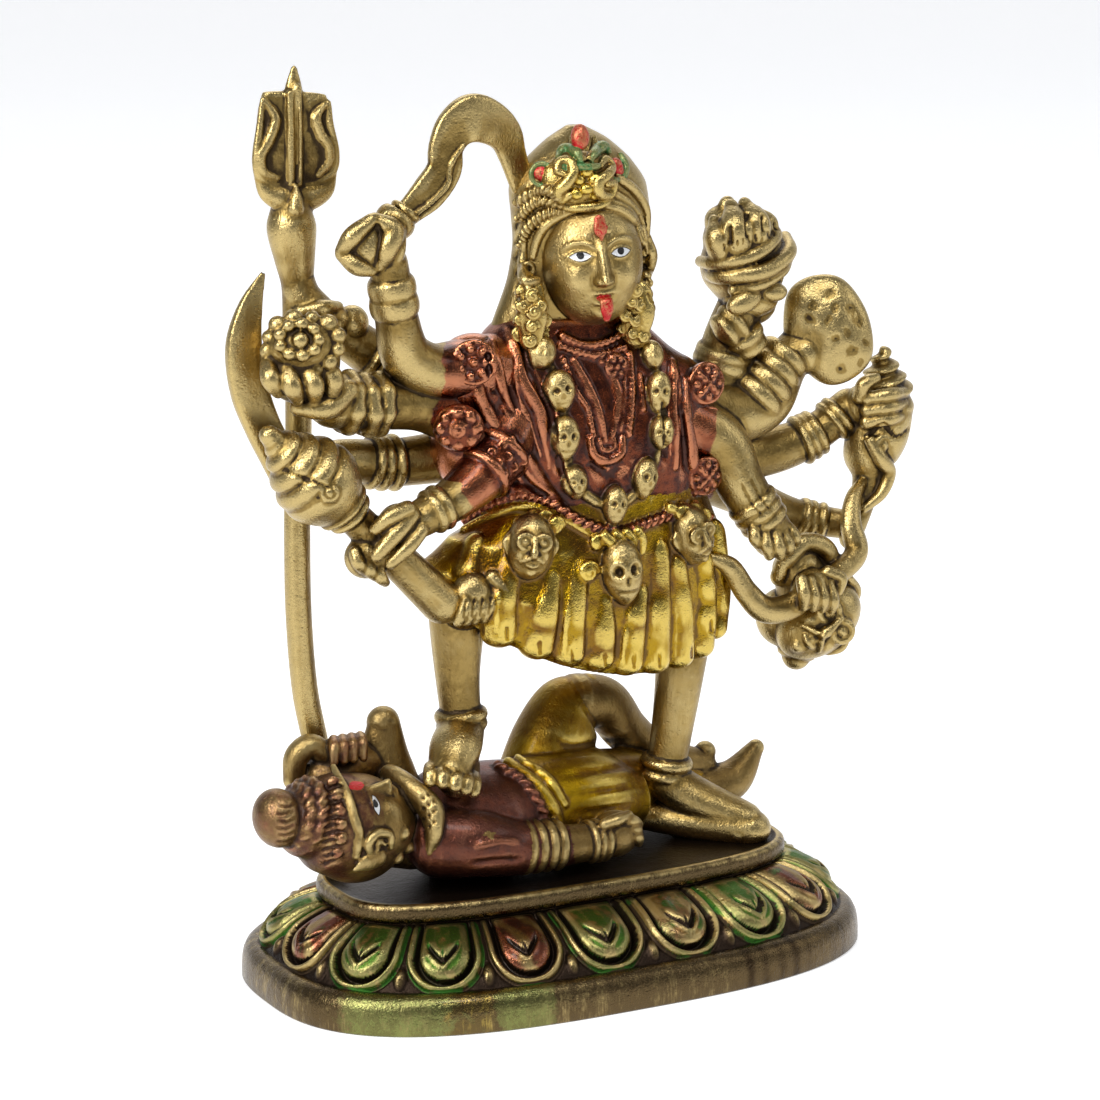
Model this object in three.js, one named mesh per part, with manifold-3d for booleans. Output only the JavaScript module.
// A cast brass statuette on an oval lotus plinth: a standing goddess with ten arms, one foot on the
// chest of a god who lies on the plinth. Millimetres, +Z up, the front faces -Y, and the origin is
// the centre of the plinth's underside.
import * as THREE from 'three';
import { mergeVertices } from 'three/addons/utils/BufferGeometryUtils.js';
import Module from 'manifold-3d';

const wasm = await Module();
wasm.setup();

// Plinth sizes
const PLINTH_LENGTH = 134;
const PLINTH_DEPTH = 80;
const PLINTH_POWER = 2.8;
const RIM_HEIGHT = 8;
const RIM_INSET = 3.4;
const SLAB_LENGTH = 104;
const SLAB_DEPTH = 44;
const SLAB_POWER = 3.2;
const SLAB_TOP = 22;
const SLAB_THICKNESS = 4.2;
const SLAB_ROUNDING = 0.8;
const NECK_INSET = 1.6;
const RIM_DRAFT = 0.3;
const PETAL_COUNT = 18;
const PETAL_PHASE = 0.25;
const PETAL_COLUMNS = [-1, -0.55, 0.55];
const PETAL_RELIEF = 2.2;
const BED_BULGE = 0.13;

// Figure sizes. Each figure keeps its pose, in the sizes of the pattern that it is scaled from.
const GODDESS_HEIGHT = 168;
const PATTERN_GODDESS_HEIGHT = 168;
const LYING_LENGTH = 122;
const PATTERN_LYING_LENGTH = 122;
const PATTERN_SLAB_TOP = 22;
const MIDDLE_SHIFT = 1.2;
const CHEST_HEIGHT = 20.5;
const SEAT_CLEARANCE = 0.4;
const FOOT_END_INSET = 9.4;
const STAFF_FOOT_INSET = 7;
const STAFF_RADIUS = 2.7;
const BLADE_THICKNESS = 3.4;
const TRIDENT_THICKNESS = 3.4;
const SHIELD_THICKNESS = 5;
const SHIELD_TILT = [-22, -20];
const BRACELET_RELIEF = 0.9;
const ANKLET_RELIEF = 1.1;
const RING_SHARE = 0.06;
const BERRIES = 6;
const SKIRT_FOLDS = 12;
const SKIRT_FOLD_DEPTH = 0.035;

// Colours of the finishes
const BRASS = 0xb59a5b;
const COPPER = 0x8a4a32;
const DARK_BRASS = 0x7d6a3e;

const goddessScale = GODDESS_HEIGHT / PATTERN_GODDESS_HEIGHT;
const lyingScale = LYING_LENGTH / PATTERN_LYING_LENGTH;
const chestTop = SLAB_TOP + CHEST_HEIGHT;
const chestMiddle = PATTERN_SLAB_TOP + CHEST_HEIGHT / lyingScale - 10;

// A point of the goddess: pattern millimetres, scaled about the middle of the plinth's top.
function g(x, y, z) {
  return new THREE.Vector3(x, y, z - PATTERN_SLAB_TOP).multiplyScalar(goddessScale)
    .add(new THREE.Vector3(-MIDDLE_SHIFT, 0, SLAB_TOP));
}

// A point of the lying god, in the same way.
function s(x, y, z) {
  return new THREE.Vector3(x, y, z - PATTERN_SLAB_TOP).multiplyScalar(lyingScale)
    .add(new THREE.Vector3(-MIDDLE_SHIFT, 0, SLAB_TOP));
}

// Six times the volume inside a mesh, with its sign.
function signedVolume(position, index) {
  let sum = 0;
  const corner = [new THREE.Vector3(), new THREE.Vector3(), new THREE.Vector3()];
  for (let i = 0; i < index.length; i += 3) {
    corner.forEach((v, k) => v.fromArray(position, 3 * index[i + k]));
    sum += corner[0].dot(corner[1].cross(corner[2]));
  }
  return sum;
}

// A closed three.js geometry as a solid, with its faces turned outwards.
function solid(geometry) {
  const bare = geometry.clone();
  bare.deleteAttribute('normal');
  bare.deleteAttribute('uv');
  const merged = mergeVertices(bare, 1e-4);
  const vertProperties = new Float32Array(merged.attributes.position.array);
  const triVerts = new Uint32Array(merged.index.array);
  if (signedVolume(vertProperties, triVerts) < 0) {
    for (let i = 0; i < triVerts.length; i += 3) {
      [triVerts[i], triVerts[i + 1]] = [triVerts[i + 1], triVerts[i]];
    }
  }
  return new wasm.Manifold(new wasm.Mesh({ numProp: 3, vertProperties, triVerts }));
}

function join(parts) {
  return parts.flat(Infinity).reduce((whole, part) => whole.add(part));
}

function meshOf(name, manifold, color, roughness) {
  const mesh = manifold.getMesh();
  const geometry = new THREE.BufferGeometry();
  geometry.setAttribute('position', new THREE.BufferAttribute(new Float32Array(mesh.vertProperties), 3));
  geometry.setIndex(new THREE.BufferAttribute(new Uint32Array(mesh.triVerts), 1));
  const material = new THREE.MeshStandardMaterial({ color, roughness, metalness: 0.9 });
  const made = new THREE.Mesh(geometry, material);
  made.name = name;
  return made;
}

// Moves every vertex of a geometry by a function of its place.
function mapped(geometry, move) {
  const bare = geometry.clone();
  bare.deleteAttribute('normal');
  bare.deleteAttribute('uv');
  const merged = mergeVertices(bare, 1e-4);
  const position = merged.attributes.position;
  const point = new THREE.Vector3();
  for (let i = 0; i < position.count; i += 1) {
    const moved = move(point.fromBufferAttribute(position, i).clone());
    position.setXYZ(i, moved.x, moved.y, moved.z);
  }
  return merged;
}

// A value read from a list at a share t of its length, with straight steps between its entries.
function along(list, t) {
  const place = t * (list.length - 1);
  const low = Math.min(Math.floor(place), list.length - 2);
  return list[low] + (list[low + 1] - list[low]) * (place - low);
}

// A limb: rings along a smooth curve through the points. Each ring has its radius in the picture
// plane, and flat times that radius across it. The radii are evenly spaced unless shares are given.
function limb(points, radii, options = {}) {
  const { sides = 6, rows = 4, flat = 1, across = new THREE.Vector3(0, 1, 0), shares } = options;
  const curve = new THREE.CatmullRomCurve3(points, false, 'centripetal');
  const steps = shares ? shares.length - 1 : rows;
  return solid(mapped(new THREE.CylinderGeometry(1, 1, 1, sides, steps), (p) => {
    const row = Math.round((p.y + 0.5) * steps);
    const t = shares ? shares[row] : row / steps;
    const tangent = curve.getTangent(t);
    const depth = across.clone().addScaledVector(tangent, -across.dot(tangent)).normalize();
    const side = new THREE.Vector3().crossVectors(tangent, depth);
    const radius = shares ? radii[row] : along(radii, t);
    return curve.getPoint(t).addScaledVector(side, p.x * radius).addScaledVector(depth, p.z * radius * flat);
  }));
}

// A limb with a raised ring round it, at a share of its length.
function ringedLimb(points, radii, ringShare, { rows = 4, relief = BRACELET_RELIEF, ...options } = {}) {
  const even = Array.from({ length: rows + 1 }, (_, k) => k / rows)
    .filter((t) => Math.abs(t - ringShare) > 1.5 * RING_SHARE);
  const plain = [...even, ringShare - RING_SHARE, ringShare + RING_SHARE].map((t) => [t, along(radii, t)]);
  const raised = [-0.8, 0.8].map((k) => [ringShare + k * RING_SHARE, along(radii, ringShare) + relief]);
  const levels = [...plain, ...raised].sort((a, b) => a[0] - b[0]);
  return limb(points, levels.map(([, radius]) => radius), { ...options, shares: levels.map(([t]) => t) });
}

// An ellipsoid, turned by Euler angles in degrees.
function ball(centre, size, { turn = [0, 0, 0], columns = 8, rows = 6 } = {}) {
  const matrix = new THREE.Matrix4().compose(
    centre,
    new THREE.Quaternion().setFromEuler(new THREE.Euler(...turn.map(THREE.MathUtils.degToRad))),
    new THREE.Vector3(...size),
  );
  return solid(new THREE.SphereGeometry(1, columns, rows).rotateX(Math.PI / 2).applyMatrix4(matrix));
}

// A ring around a limb: a short drum between two points.
function cuff(from, to, radius, sides = 10) {
  return limb([from, to], [radius, radius], { sides, rows: 1 });
}

// A body of stacked oval rings. Each level is [height, centre x, centre y, half width, half depth].
function stack(levels, place, { sides = 16, ripple = () => 0 } = {}) {
  const rows = levels.length - 1;
  return solid(mapped(new THREE.CylinderGeometry(1, 1, 1, sides, rows), (p) => {
    const t = Math.min(Math.max(p.y + 0.5, 0), 1);
    const [z, cx, cy, width, depth] = [0, 1, 2, 3, 4].map((k) => along(levels.map((level) => level[k]), t));
    const swell = 1 + ripple(Math.atan2(p.z, p.x), t);
    return place(cx + p.x * width * swell, cy + p.z * depth * swell, z);
  }));
}

// A turned body along a line: each level is [share of the length, radius].
function turned(from, to, levels, sides = 10) {
  const profile = levels.map(([share, radius]) => new THREE.Vector2(radius, share * from.distanceTo(to)));
  const geometry = new THREE.LatheGeometry(
    [new THREE.Vector2(0, profile[0].y), ...profile, new THREE.Vector2(0, profile.at(-1).y)], sides);
  const axis = to.clone().sub(from).normalize();
  const turn = new THREE.Quaternion().setFromUnitVectors(new THREE.Vector3(0, 1, 0), axis);
  return solid(geometry.applyQuaternion(turn).translate(from.x, from.y, from.z));
}

// A flat plate in the picture plane, from a centre line and its half widths, at one depth.
function blade(points, halfWidths, thickness, steps = 12) {
  const line = new THREE.CatmullRomCurve3(points, false, 'centripetal');
  return limbPlate(line, halfWidths, thickness, steps);
}

function limbPlate(line, halfWidths, thickness, steps) {
  const across = new THREE.Vector3(0, 1, 0);
  return solid(mapped(new THREE.BoxGeometry(2, 1, 2, 1, steps, 1), (p) => {
    const t = Math.min(Math.max(p.y + 0.5, 0), 1);
    const tangent = line.getTangent(t);
    const side = new THREE.Vector3().crossVectors(tangent, across).normalize();
    return line.getPoint(t).addScaledVector(side, p.x * along(halfWidths, t))
      .addScaledVector(across, p.z * thickness / 2);
  }));
}

// A hand: a palm and fingers bent round what it holds. Grip is the direction of the fingers.
function hand(palm, grip, spread, size = 1, fingers = 3) {
  const parts = [ball(palm, [5 * size, 4.4 * size, 5 * size], { columns: 6, rows: 4 })];
  const front = new THREE.Vector3(0, -2.6 * size, 0);
  for (let finger = 0; finger < fingers; finger += 1) {
    const root = palm.clone().addScaledVector(spread, (finger - (fingers - 1) / 2) * 3 * size)
      .addScaledVector(grip, size).add(front);
    parts.push(limb([root, root.clone().addScaledVector(grip, 5 * size)], [1.7 * size, 1.2 * size],
      { sides: 4, rows: 1 }));
  }
  return parts;
}

// The plinth

// A point of a rounded oval outline.
function ovalPoint(angle, halfLength, halfDepth, power) {
  const c = Math.cos(angle);
  const d = Math.sin(angle);
  return [
    halfLength * Math.sign(c) * Math.abs(c) ** (2 / power),
    halfDepth * Math.sign(d) * Math.abs(d) ** (2 / power),
  ];
}

const rimOval = {
  length: PLINTH_LENGTH / 2 - RIM_INSET, depth: PLINTH_DEPTH / 2 - RIM_INSET, power: PLINTH_POWER,
};
const neckOval = {
  length: SLAB_LENGTH / 2 - NECK_INSET, depth: SLAB_DEPTH / 2 - NECK_INSET, power: SLAB_POWER,
};
const neckHeight = SLAB_TOP - SLAB_THICKNESS;

// The petal bed bulges outwards between the rim and the neck under the slab.
function bedPoint(angle, t) {
  const bulge = Math.sin(Math.PI * t) * BED_BULGE;
  const share = t - bulge;
  const low = ovalPoint(angle, rimOval.length, rimOval.depth, rimOval.power);
  const high = ovalPoint(angle, neckOval.length, neckOval.depth, neckOval.power);
  const z = RIM_HEIGHT + (neckHeight - RIM_HEIGHT) * (t + bulge);
  return new THREE.Vector3(low[0] + (high[0] - low[0]) * share, low[1] + (high[1] - low[1]) * share, z);
}

// Angles at shares of the length of the rim's outline, found by walking round it.
function outlineAngles(shares) {
  const steps = 1440;
  const length = [0];
  const at = (i) => ovalPoint((i / steps) * 2 * Math.PI, rimOval.length, rimOval.depth, rimOval.power);
  for (let i = 1; i <= steps; i += 1) {
    const [x0, y0] = at(i - 1);
    const [x1, y1] = at(i);
    length.push(length[i - 1] + Math.hypot(x1 - x0, y1 - y0));
  }
  return shares.map((share) => (
    (length.findIndex((reached) => reached >= share * length[steps]) / steps) * 2 * Math.PI));
}

// The plinth is one stack of rings. The petals swell out of the bed, each with a round lower end.
function lotusPlinth() {
  const columns = PETAL_COUNT * PETAL_COLUMNS.length;
  const shareOf = (column) => {
    const petal = Math.floor(column / PETAL_COLUMNS.length);
    const across = PETAL_COLUMNS[column % PETAL_COLUMNS.length] / 2;
    const share = (petal + PETAL_PHASE + across) / PETAL_COUNT;
    return share - Math.floor(share);
  };
  const angles = outlineAngles(Array.from({ length: columns }, (_, column) => shareOf(column)));
  const oval = (length, depth, power, inset, z) => (angle) => {
    const [x, y] = ovalPoint(angle, length / 2 - inset, depth / 2 - inset, power);
    return new THREE.Vector3(x, y, z);
  };
  const rim = (inset, z) => oval(PLINTH_LENGTH, PLINTH_DEPTH, PLINTH_POWER, inset, z);
  const slab = (inset, z) => oval(SLAB_LENGTH, SLAB_DEPTH, SLAB_POWER, inset, z);
  const bed = (t) => (angle, column) => {
    const across = PETAL_COLUMNS[column % PETAL_COLUMNS.length];
    const halfWidth = Math.sqrt(Math.min(1, 0.3 + 3 * t));
    const swell = PETAL_RELIEF * Math.sqrt(Math.max(0, 1 - (across / halfWidth) ** 2)) * (1 - 0.3 * t);
    const middle = bedPoint(angle, t);
    const outward = middle.clone().setZ(0).normalize().setZ(0.9).normalize();
    return middle.addScaledVector(outward, swell - PETAL_RELIEF * 0.45);
  };
  const rings = [
    rim(0, 0), rim(RIM_DRAFT, RIM_HEIGHT * 0.65), rim(RIM_INSET, RIM_HEIGHT),
    bed(0.08), bed(0.55), slab(NECK_INSET, neckHeight),
    slab(0, neckHeight + SLAB_ROUNDING), slab(SLAB_ROUNDING, SLAB_TOP),
  ];
  return solid(mapped(new THREE.CylinderGeometry(1, 1, 1, columns, rings.length - 1), (p) => {
    const row = Math.round((p.y + 0.5) * (rings.length - 1));
    const turn = Math.atan2(p.z, p.x) / (2 * Math.PI);
    const column = Math.round((turn < 0 ? turn + 1 : turn) * columns) % columns;
    const point = rings[row](angles[column], column);
    return Math.hypot(p.x, p.z) < 0.5 ? new THREE.Vector3(0, 0, point.z) : point;
  }));
}

// Everything under a height is cut away, so that a figure stands flat.
function trimmed(manifold, height) {
  const reach = 3 * PLINTH_LENGTH;
  const below = new THREE.BoxGeometry(reach, reach, reach).translate(0, 0, height - reach / 2);
  return manifold.subtract(solid(below));
}

// The lying god
function lyingTorso() {
  const body = [
    [-34, -2, 31, 5, 7], [-30, -1, 31.5, 9, 13], [-25, -0.5, chestMiddle, 11.5, 14.5],
    [-14, 0, chestMiddle, 11.5, 14], [-4, 2, 32.5, 10.5, 11.5], [10, 4, 32.6, 11, 12.5], [23, 5, 31, 6, 8],
  ];
  return stack(body.map(([x, y, z, rise, spread]) => [x, y, z, spread, rise]),
    (y, z, x) => s(x, y, z), { sides: 10 });
}

function lyingHead() {
  const size = lyingScale;
  return [
    ball(s(-47, -5, 36), [11.5 * size, 10.5 * size, 11.4 * size], { columns: 9, rows: 6 }),
    ball(s(-42.5, -6.5, 36.5), [7.5 * size, 8.8 * size, 9.2 * size], { columns: 7, rows: 5 }),
    turned(s(-51, -5, 36.6), s(-69.6, -7, 41.6), [[0, 10.4], [0.25, 10], [0.42, 7.2], [0.5, 7.4],
      [0.56, 5.6], [0.84, 6], [0.96, 3.6]].map(([t, r]) => [t, r * size]), 8),
    limb([s(-39.6, -12.4, 43), s(-42.6, -14.6, 41.6)], [0.9 * size, 2 * size], { sides: 4, rows: 1 }),
    limb([s(-42, -3, 34), s(-33, -2, 32)], [7 * size, 7.5 * size], { sides: 7, rows: 1 }),
  ];
}

function lyingArms() {
  const size = lyingScale;
  return [
    ringedLimb([s(-28, -9, 31.5), s(-18, -11.5, 28.5), s(-8, -12, 28), s(4, -12.5, 27.5)],
      [7, 6.4, 5.2, 4.4].map((r) => r * size), 0.62, { sides: 7 }),
    ball(s(9, -12.5, 28.5), [6.2 * size, 5 * size, 5.6 * size], { columns: 6, rows: 4 }),
    limb([s(5, -14.5, 31), s(12, -13, 32)], [2.4 * size, 2.2 * size], { sides: 4, rows: 1 }),
    limb([s(-30.5, 6, chestMiddle), s(-34.4, 8, 44), s(-35.4, 8, 52.6)], [6, 6, 4].map((r) => r * size),
      { sides: 6, rows: 2 }),
    ball(s(-35.4, 8, 52), [5 * size, 4.6 * size, 5.4 * size], { columns: 6, rows: 4 }),
    limb([s(-37, 8, 45), s(-44, 7, 45.5), s(-49, 6, 44)], [4.4, 5, 5].map((r) => r * size), { rows: 2 }),
    ball(s(-50.4, 6, 46), [6.8 * size, 4.4 * size, 6.2 * size], { columns: 6, rows: 4 }),
  ];
}

function lyingLegs() {
  const size = lyingScale;
  const farThigh = [s(1, 8, 34), s(6.4, 10.5, 43), s(11, 12, 49), s(15, 12, 51)];
  const farShin = [s(13, 12, 51), s(19.6, 12.5, 49.6), s(25.6, 13, 42.6), s(34, 13.5, 35.5), s(45, 14, 32)];
  const nearLeg = [s(10, 4, 32), s(23, 8.5, 31), s(34, 13, 29.5), s(47, 13.5, 27)];
  return [
    limb(farThigh, [9.6, 9.4, 8.2, 5.8].map((r) => r * size), { sides: 8, rows: 3, flat: 0.8 }),
    limb(farShin, [6, 5.6, 5, 4.4, 3.4].map((r) => r * size), { sides: 7, rows: 5 }),
    limb([s(44, 14, 31), s(46, 14, 34.8)], [4 * size, 2.4 * size], { rows: 1 }),
    limb(nearLeg, [10.5, 8.8, 6.6, 4.8].map((r) => r * size), { sides: 8, rows: 3, flat: 0.8 }),
    limb([s(44, 12.5, 26.6), s(51.8, 12, 28.4), s(57.2, 11.5, 34.6)], [5.4, 4.6, 2.2].map((r) => r * size),
      { rows: 2 }),
  ];
}

// The serpent that lies round the neck as a collar
function lyingCollar() {
  const level = chestMiddle;
  const route = [s(-35, -12.5, level - 2.5), s(-34, -13, level + 3.5), s(-33.4, -9, level + 8.6),
    s(-33.6, -1, level + 10), s(-34, 7, level + 7)];
  return limb(route, [1.4, 2.6, 2.8, 2.6, 1.6].map((r) => r * lyingScale),
    { sides: 5, rows: 5, across: new THREE.Vector3(1, 0, 0) });
}

// The place on the chest where the goddess's foot stands, cut level with room round the foot
function seatCutter() {
  const { heel, toe, halfWidth } = rightFoot();
  const room = halfWidth * 1.3 + SEAT_CLEARANCE;
  const length = Math.hypot(toe.x - heel.x, toe.y - heel.y) + 2 * room;
  const box = new THREE.BoxGeometry(length, 2 * room, CHEST_HEIGHT);
  box.rotateZ(Math.atan2(toe.y - heel.y, toe.x - heel.x));
  box.translate((heel.x + toe.x) / 2, (heel.y + toe.y) / 2, chestTop + CHEST_HEIGHT / 2);
  return solid(box);
}

// Room for the goddess's left leg, plainer than the leg and larger all round
function legRoom() {
  const { heel, halfWidth } = leftFoot();
  const ankle = heel.clone().add(new THREE.Vector3(0, 0, 12 * goddessScale));
  const radius = halfWidth + ANKLET_RELIEF + 2 * SEAT_CLEARANCE;
  const route = [ankle.clone().setZ(SLAB_TOP - 1), ankle, g(31.6, 1, 60)];
  return [limb(route, [radius, radius], { sides: 8, rows: 2 }),
    foot(leftFoot(), 12 * goddessScale, SEAT_CLEARANCE)];
}

function lyingGod() {
  const whole = join([lyingTorso(), lyingHead(), lyingArms(), lyingLegs(), lyingCollar()]);
  return trimmed(whole, SLAB_TOP).subtract(seatCutter())
    .subtract(join([legRoom(), staff(SEAT_CLEARANCE)]));
}

// The standing goddess

// The right foot is on the lying god's chest, and the left foot and the staff are on the slab.
function rightFoot() {
  return {
    heel: new THREE.Vector3(-20 * goddessScale - MIDDLE_SHIFT, 0.5 * goddessScale, chestTop),
    toe: new THREE.Vector3(-26 * goddessScale - MIDDLE_SHIFT, -8.5 * goddessScale, chestTop),
    halfWidth: 6 * goddessScale,
  };
}

function leftFoot() {
  const toeX = SLAB_LENGTH / 2 - FOOT_END_INSET;
  return {
    heel: new THREE.Vector3(toeX - 14.5 * goddessScale, 2.6 * goddessScale, SLAB_TOP),
    toe: new THREE.Vector3(toeX, -8.4 * goddessScale, SLAB_TOP),
    halfWidth: 5.2 * goddessScale,
  };
}

// A foot: a rounded body that falls from the ankle to the toes.
function foot({ heel, toe, halfWidth }, height, room) {
  const lift = new THREE.Vector3(0, 0, 1);
  const run = toe.clone().sub(heel);
  const side = new THREE.Vector3().crossVectors(run, lift).normalize();
  const up = (share, z) => heel.clone().addScaledVector(run, share).addScaledVector(lift, z);
  const sole = limb([up(-0.25, height * 0.3), up(0.4, height * 0.28), up(1.12, height * 0.14)],
    [halfWidth * 0.7 + room, halfWidth + room, halfWidth * 0.86 + room],
    { sides: 7, rows: 3, flat: 0.7, across: lift });
  const instep = limb([up(0, height), up(0.35, height * 0.62), up(1, height * 0.26)],
    [halfWidth * 0.9 + room, halfWidth * 0.86 + room, halfWidth * 0.5 + room],
    { rows: 2, across: run.clone().normalize() });
  return [sole, instep];
}

function leg(top, middle, radii, footSizes, ankleHeight, room) {
  const { heel } = footSizes;
  const ankle = heel.clone().add(new THREE.Vector3(0, 0, ankleHeight));
  return trimmed(join([
    ringedLimb([top, middle, ankle], radii.map((r) => r * goddessScale + room), 0.9,
      { sides: 7, relief: ANKLET_RELIEF }),
    foot(footSizes, ankleHeight, room),
  ]), heel.z);
}

const rightLeg = () => leg(g(-20.8, 1, 84), g(-20.9, 1, 64), [7.2, 6.4, 5.2, 4.6, 4.9], rightFoot(),
  8.5 * goddessScale, 0);
const leftLeg = (room) => leg(g(33.6, 1, 72), g(31.4, 1, 53), [7, 5.9, 5, 4.6, 4.8], leftFoot(),
  12 * goddessScale, room);

function goddessBody() {
  const torso = [
    [91, 13.5, 1, 23, 11], [99, 12.8, 1, 20.5, 10.5], [109, 11, 0.8, 24, 11], [118, 9.5, 1, 27.5, 10],
    [123.6, 8, 1.5, 27.2, 9], [129, 5.6, 2.2, 21.8, 8], [134, 5, 3, 17.4, 8],
  ];
  return [stack(torso, g, { sides: 11 }), skirt()];
}

// The skirt's hem rises to the side of the raised leg, and its folds deepen towards the hem.
function skirt() {
  const levels = [[0, 5.1, 32.6, 11.6], [0.07, 5, 34.4, 12.8], [0.35, 5.6, 34.8, 14],
    [0.7, 9.2, 31.6, 13.2], [1, 13, 23, 11.4]];
  const hem = (x) => 61.5 + 0.008 * (x - 21) ** 2;
  const top = 99.5;
  return solid(mapped(new THREE.CylinderGeometry(1, 1, 1, 2 * SKIRT_FOLDS, levels.length - 1), (p) => {
    const row = Math.round((p.y + 0.5) * (levels.length - 1));
    const [t, cx, width, depth] = levels[row];
    const column = Math.round((Math.atan2(p.z, p.x) / Math.PI + 1) * SKIRT_FOLDS);
    const swell = 1 + (1 - t) * (column % 2 ? SKIRT_FOLD_DEPTH : -SKIRT_FOLD_DEPTH);
    const x = cx + p.x * width * swell;
    return g(x, 1 + p.z * depth * swell, hem(x) + t * (top - hem(x)));
  }));
}

// The garland of skulls hangs from the neck to the belt, and three larger heads hang at the belt.
function garland() {
  const skulls = [g(-4.9, -5.4, 130), g(-2.7, -7.5, 123), g(-1.1, -8.9, 113), g(1.3, -9, 103.4),
    g(9.3, -10.4, 97.6), g(16.5, -10.8, 103.2), g(20.4, -10, 112), g(21.3, -8.3, 120), g(20.5, -5.4, 128)]
    .map((place) => ball(place, [2.7, 2.7, 3.9].map((r) => r * goddessScale), { columns: 5, rows: 4 }));
  const beltHeads = [g(-9, -8.8, 91.8), g(10, -12.8, 84.4), g(27.7, -10, 90.3)]
    .map((place) => ball(place, [5.2, 4.6, 7.2].map((r) => r * goddessScale), { columns: 7, rows: 5 }));
  const hangingHand = ball(g(-22.4, -6, 81.3), [4.6, 4, 4.2].map((r) => r * goddessScale),
    { columns: 6, rows: 4 });
  return [skulls, beltHeads, hangingHand];
}

function goddessHead() {
  const size = goddessScale;
  const hair = [
    [130, 5, 5, 18, 8], [135, 5, 4, 16.4, 8], [143, 7.2, 2.5, 14.4, 9.5], [150, 7.8, 2, 14.2, 10.5],
    [158, 7.5, 1.5, 14.7, 11], [164, 6.9, 0.8, 14.4, 11], [169, 6.2, 0, 11.2, 9], [173.4, 6.3, -0.5, 5.4, 5],
    [176, 6.8, -0.5, 1.4, 1.6],
  ];
  const face = (across, out, up) => g(
    7.6 + across - 0.24 * out - 0.08 * up, -2.5 - out - 0.24 * across, 149 + up);
  return [
    stack(hair, g, { sides: 10 }),
    ball(face(0, 2.5, 0), [10.6, 9.5, 13.5].map((r) => r * size),
      { turn: [0, -5, -14], columns: 8, rows: 6 }),
    limb([face(0, 11, 4), face(0, 13.6, -2.5)], [0.7 * size, 1.7 * size], { sides: 4, rows: 1 }),
    limb([face(0, 10.5, -6.5), face(0, 12.6, -10.5)], [1.8 * size, 1.1 * size],
      { sides: 5, rows: 1, flat: 0.6 }),
    turned(face(0, 8, 13.5), face(0, 12.8, 13), [[0, 8], [1, 5.6]].map(([t, r]) => [t, r * size]), 8),
    [-1, 1].map((k) => ball(face(8.2 * k, 7.6, 17), [3.2, 2.8, 3.2].map((r) => r * size),
      { columns: 5, rows: 3 })),
    ball(face(0, 8, 23.5), [3.4, 3, 4.4].map((r) => r * size), { columns: 5, rows: 3 }),
    [-1, 1].map((k) => limb([face(9.8 * k - 0.8, 3.6, 8), face(9.8 * k - 0.8, 3.4, -4),
      face(9.4 * k - 0.6, 3.4, -14), face(9.4 * k - 0.6, 4, -24)], [2.2, 2.8, 2.2].map((r) => r * size),
      { sides: 5, rows: 2 })),
  ];
}

// An arm, with a bracelet at a share of its length unless that is 0
function arm(points, radii, braceletShare, rows = 3) {
  const sized = radii.map((r) => r * goddessScale);
  if (braceletShare > 0) {
    return ringedLimb(points, sized, braceletShare, { rows });
  }
  return limb(points, sized, { rows });
}

const unit = (x, y, z) => new THREE.Vector3(x, y, z).normalize();

function raisedSwordArm() {
  const size = goddessScale;
  return [
    arm([g(-13, 1, 127.4), g(-20.9, -1, 128), g(-28.4, -2.4, 128.8), g(-33.9, -3, 132.4), g(-36.4, -4, 140),
      g(-38.6, -5, 151.5)], [7, 6.2, 5.5, 5.2, 4.4, 3.9], 0.84, 4),
    ball(g(-42, -5, 155.6), [7.6 * size, 5 * size, 6.4 * size], { turn: [0, -12, 0], columns: 8, rows: 5 }),
    limb([g(-38.6, -7.5, 151), g(-37.8, -7.5, 158)], [1.9 * size, 1.9 * size], { sides: 4, rows: 1 }),
    cuff(g(-36.4, -3.6, 158), g(-33.6, -3.2, 161.5), 3.8 * size, 6),
    blade([g(-35.4, -3.4, 159.4), g(-33, -3, 161.2), g(-28.6, -3, 164.8), g(-25.2, -3, 169.2),
      g(-24.8, -3, 173.4), g(-22.7, -3, 177.1), g(-19, -3, 179), g(-14.4, -2.4, 177.7), g(-10.8, -1.6, 174.9),
      g(-8.8, -0.8, 170.8), g(-6, 0, 164)],
      [2.6, 2.8, 3.7, 3.7, 3.7, 4.3, 4.9, 4.4, 3.7, 3, 2.6].map((r) => r * size), BLADE_THICKNESS * size, 11),
  ];
}

function staffArm() {
  const size = goddessScale;
  return [
    arm([g(-12, 8, 121), g(-23, 9, 125.2), g(-33.1, 11, 129.4), g(-44, 12, 137.4)],
      [6.5, 5.4, 4.8, 4.4], 0.66),
    hand(g(-48, 11.4, 139), unit(-1, 0, -0.3), unit(0.3, 0, 1), size, 1),
  ];
}

function staff(room) {
  const footPlace = new THREE.Vector3(-SLAB_LENGTH / 2 + STAFF_FOOT_INSET, 12 * goddessScale, SLAB_TOP);
  const radius = STAFF_RADIUS + room;
  return limb([footPlace, g(-48.1, 12, 49), g(-50.4, 12, 61), g(-51.6, 12, 77), g(-51.7, 12, 94),
    g(-51, 12, 118), g(-50.8, 12, 136)], [radius, radius], { rows: 6 });
}

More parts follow.
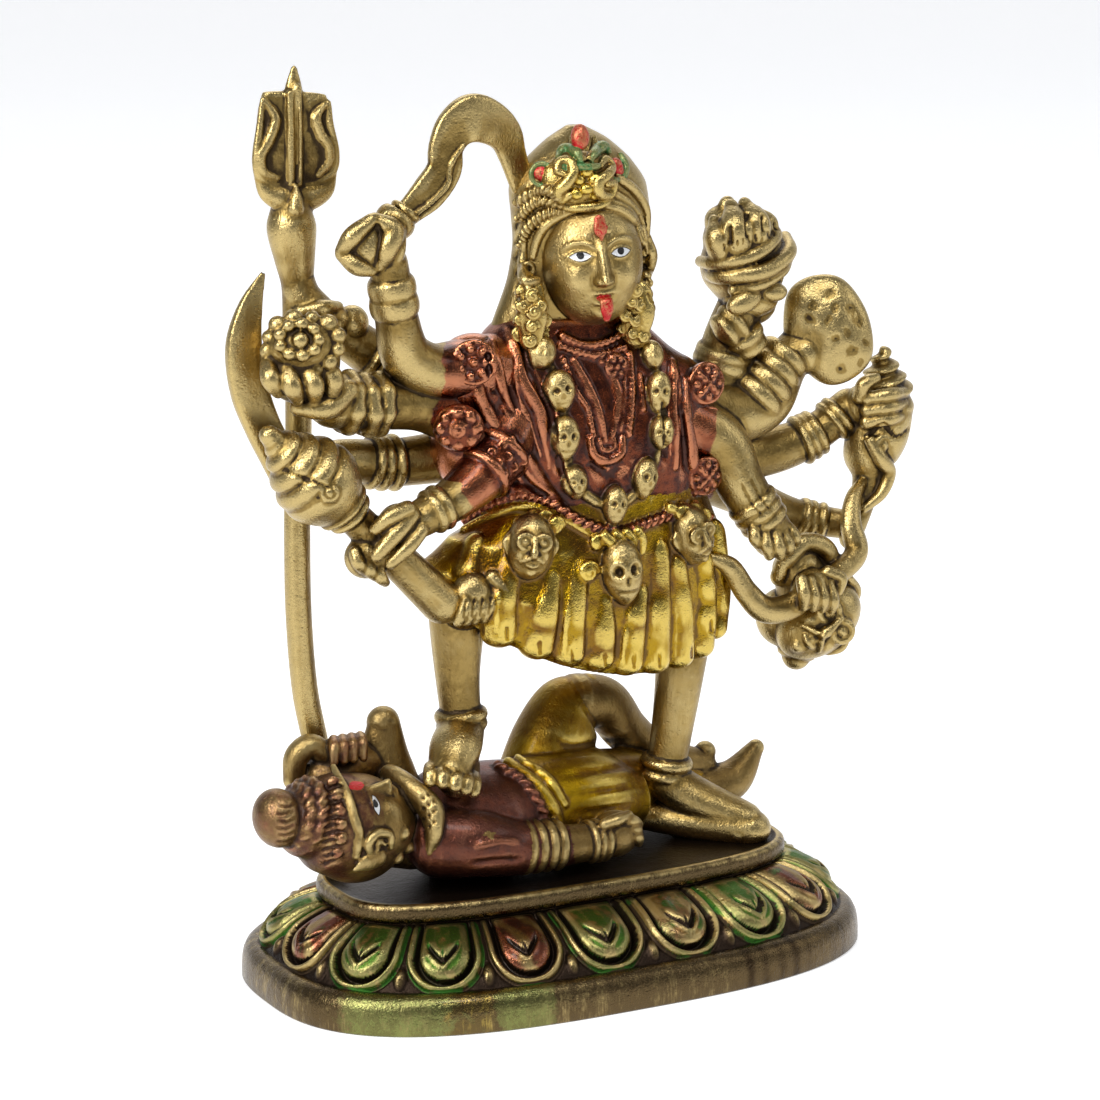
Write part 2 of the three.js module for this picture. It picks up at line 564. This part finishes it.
// The trident: a staff that thickens to a moulded grip under a plate with three prongs
function trident() {
  const size = goddessScale;
  const half = [[1.5, 186], [1.9, 181], [3.4, 179.8], [5.4, 182], [6.4, 183.6], [7.6, 178], [8.5, 169.6],
    [7.2, 163.6], [4.2, 160.8]];
  const outline = new THREE.Shape([[0, 190], ...half, ...half.map(([x, z]) => [-x, z]).reverse()]
    .map(([x, z]) => new THREE.Vector2(x * size, z * size)));
  const plate = new THREE.ExtrudeGeometry(outline, { depth: TRIDENT_THICKNESS, bevelEnabled: false });
  plate.rotateX(Math.PI / 2);
  const middle = g(-51.4, 12, 0);
  plate.translate(middle.x, middle.y + TRIDENT_THICKNESS / 2, middle.z);
  return [
    staff(0), solid(plate),
    limb([g(-50.9, 12, 132), g(-50.8, 12, 141), g(-51.2, 12, 149), g(-52, 12, 157), g(-51.6, 12, 163.5)],
      [3.5, 3.9, 4.1, 5.2, 3.6].map((r) => r * size), { rows: 5 }),
    limb([g(-51.6, 10.6, 162), g(-51.4, 10.6, 175), g(-51.4, 10.6, 187.5)],
      [2.1, 1.8, 1].map((r) => r * size), { sides: 4, rows: 2 }),
  ];
}

function flowerArm() {
  const size = goddessScale;
  const centre = g(-56.7, -4, 133);
  const berries = Array.from({ length: BERRIES }, (_, k) => {
    const turn = (k / BERRIES) * 2 * Math.PI;
    const offset = new THREE.Vector3(4.4 * Math.cos(turn), -6.4, 4.4 * Math.sin(turn) + 1.4);
    return ball(centre.clone().addScaledVector(offset, size), [2.2, 1.9, 2.2].map((r) => r * size),
      { columns: 5, rows: 3 });
  });
  return [
    arm([g(-12, 2, 116.5), g(-21, 0.5, 118.4), g(-29.5, 0, 121.4), g(-39, -1, 122.6), g(-50, -3, 124.6)],
      [6.4, 6, 4.9, 5.4], 0.66, 3),
    ball(centre, [8.8 * size, 7.6 * size, 9.8 * size], { columns: 8, rows: 6 }),
    berries,
    limb([g(-49, -7.5, 124), g(-57, -8.6, 123.2), g(-62, -7, 127)], [3, 2.6, 2].map((r) => r * size),
      { sides: 5, rows: 2 }),
  ];
}

function sickleArm() {
  const size = goddessScale;
  return [
    arm([g(-9, 4, 110), g(-20, 4.6, 109.2), g(-35, 5, 109), g(-46, 4, 111), g(-57, 3, 110)],
      [6.8, 5.4, 4.8, 3.6], 0, 3),
    blade([g(-55, 2.4, 103), g(-59.8, 2.2, 113), g(-63.2, 2, 119.6), g(-66, 2, 127.4), g(-67, 2, 136.4),
      g(-65.4, 2, 144), g(-62.6, 2, 150.4)], [3.4, 3.7, 3.7, 3.9, 3.7, 2.5, 0.6].map((r) => r * size),
      BLADE_THICKNESS * size, 8),
  ];
}

function maceArm() {
  const size = goddessScale;
  return [
    arm([g(-9, -1, 116), g(-15.6, -5, 109.8), g(-24.4, -8, 104), g(-34, -9, 100)], [7, 6.4, 4.7, 3.8], 0.78),
    hand(g(-39.5, -9.4, 99), unit(-0.75, 0, -0.66), unit(-0.5, 0, 0.8), size, 2),
    ball(g(-44.8, -6.4, 92.4), [5 * size, 4 * size, 4.6 * size], { columns: 6, rows: 4 }),
    turned(g(-27.6, -5.4, 81.2), g(-65.9, -6, 120.1), [[0, 4.6], [0.5, 3.6], [0.54, 4.4],
      [0.6, 6], [0.7, 8.8], [0.8, 7.4], [0.89, 4.6], [0.98, 2.2]].map(([t, r]) => [t, r * size]), 8),
  ];
}

function potArm() {
  const size = goddessScale;
  const flames = [-1, 1].map((k) => ball(g(45.2 + 2.8 * k, 1, 152.6), [4.6 * size, 5 * size, 5.6 * size],
    { turn: [0, 20 * k, 0], columns: 5, rows: 4 }));
  return [
    arm([g(32, 5, 117.6), g(40, 5.6, 117.6), g(44.2, 6, 122), g(45.4, 5, 128), g(48.4, 4, 136)],
      [7, 6, 5.6, 5.2, 4.9], 0.58),
    ball(g(49.4, 3, 136.6), [6.4 * size, 5.4 * size, 4.6 * size], { columns: 6, rows: 4 }),
    turned(g(50.8, 4, 136), g(45.6, 3, 154), [[0, 5], [0.2, 7.6], [0.42, 10], [0.58, 10.4], [0.7, 8.8],
      [1, 6]].map(([t, r]) => [t, r * size]), 8),
    flames,
  ];
}

function shieldArm() {
  const size = goddessScale;
  const [tiltSide, tiltRound] = SHIELD_TILT.map(THREE.MathUtils.degToRad);
  const dome = new THREE.SphereGeometry(1, 10, 6).rotateX(Math.PI / 2);
  const turn = new THREE.Quaternion().setFromEuler(new THREE.Euler(0, tiltSide, tiltRound));
  const spread = new THREE.Vector3(9.4 * size, SHIELD_THICKNESS * size, 12.4 * size);
  dome.applyMatrix4(new THREE.Matrix4().compose(g(67.8, 1, 128.8), turn, spread));
  return [
    arm([g(34, 4, 115.6), g(46, 3, 112.4), g(53.4, 3, 114.2), g(58.4, 3.5, 121.2), g(64.6, 4, 127)],
      [7, 6.6, 5.8, 5, 4.4], 0.7, 4),
    solid(dome),
  ];
}

function conchArm() {
  const size = goddessScale;
  return [
    arm([g(38, 6, 106.2), g(49, 7, 102.2), g(61, 6.4, 103), g(69, 5, 106.4), g(75, 4, 111)],
      [6.6, 5.6, 4.9, 4.1, 3.8], 0.72, 4),
    hand(g(77.5, 2.6, 112.4), unit(1, -0.3, 0.1), unit(0, 0, 1), size, 2),
    limb([g(73, -1, 83), g(76.4, 0.4, 89), g(78.8, 1.6, 95), g(79.4, 2, 99.5), g(81.5, 2, 105.4),
      g(83.2, 2, 112.5), g(82.6, 2, 117.4), g(82.2, 2, 122.4)],
      [2.6, 2.8, 3.4, 5.8, 7, 6.2, 4, 1.6].map((r) => r * size), { sides: 7, rows: 7 }),
  ];
}

function bowArms() {
  const size = goddessScale;
  const bow = [g(33.8, -7.5, 84.4), g(38.4, -8.4, 82), g(42.4, -9, 76), g(46.6, -9.6, 72), g(53, -10, 72.2),
    g(58, -10.5, 75.8), g(64.7, -9, 77.5), g(70.8, -7, 81.3), g(70.6, -5, 87), g(72.6, -2.6, 92),
    g(77, 0, 95.5)];
  return [
    arm([g(37, 6, 102), g(49, 8, 94.6), g(60, 9, 89), g(68, 8, 86), g(75, 5, 84.6)],
      [7, 5.2, 3.8, 3.4, 3.2], 0.72, 4),
    arm([g(30, -1, 113), g(38.8, -3, 107.6), g(43, -5, 98.6), g(49.4, -7, 88.2)], [6.8, 6, 5.2, 4.6], 0),
    ball(g(51.2, -7.6, 84.8), [5.2 * size, 4.4 * size, 5 * size], { columns: 6, rows: 4 }),
    limb(bow, [0.9, 2.2, 2.6, 2.9, 2.9, 2.6, 2.5, 2.7, 2.4, 1.9, 1].map((r) => r * size),
      { sides: 5, rows: 11 }),
    hand(g(57.6, -10.4, 75.6), unit(-0.6, -0.2, -0.5), unit(-0.5, 0, 0.8), size * 0.9, 1),
    limb([g(53, -5, 77.5), g(54.4, -6, 81.4), g(58.4, -6, 84.4), g(63.6, -6, 82.6), g(66.2, -6, 77)],
      [2.4, 2.4, 2.2, 2.3, 2].map((r) => r * size), { sides: 5, rows: 5 }),
    limb([g(57.8, -4, 78), g(62.4, -2, 72.6)], [5.6 * size, 7.8 * size], { rows: 1 }),
  ];
}

// The head that one hand holds by its hair
function heldHead() {
  const size = goddessScale;
  return [
    ball(g(64.2, -1, 68), [9 * size, 7.6 * size, 8.4 * size], { turn: [0, 40, 0], columns: 8, rows: 5 }),
    ball(g(58.8, 2, 66.4), [6.8 * size, 6.4 * size, 6.8 * size], { columns: 6, rows: 4 }),
    limb([g(61.6, -1, 63.6), g(59.6, -1, 57.8)], [5.2 * size, 3.2 * size], { sides: 6, rows: 1 }),
    limb([g(66.4, -8.2, 69), g(64.2, -9.4, 66)], [0.7 * size, 1.5 * size], { sides: 4, rows: 1 }),
  ];
}

function standingGoddess() {
  return trimmed(join([
    goddessBody(), rightLeg(), leftLeg(0), garland(), goddessHead(),
    raisedSwordArm(), staffArm(), trident(), flowerArm(), sickleArm(), maceArm(),
    potArm(), shieldArm(), conchArm(), bowArms(), heldHead(),
  ]), SLAB_TOP);
}

const statuette = new THREE.Group();
statuette.add(
  meshOf('lotus_plinth', lotusPlinth(), DARK_BRASS, 0.45),
  meshOf('lying_god', lyingGod(), COPPER, 0.4),
  meshOf('standing_goddess', standingGoddess(), BRASS, 0.38),
);

export default statuette;
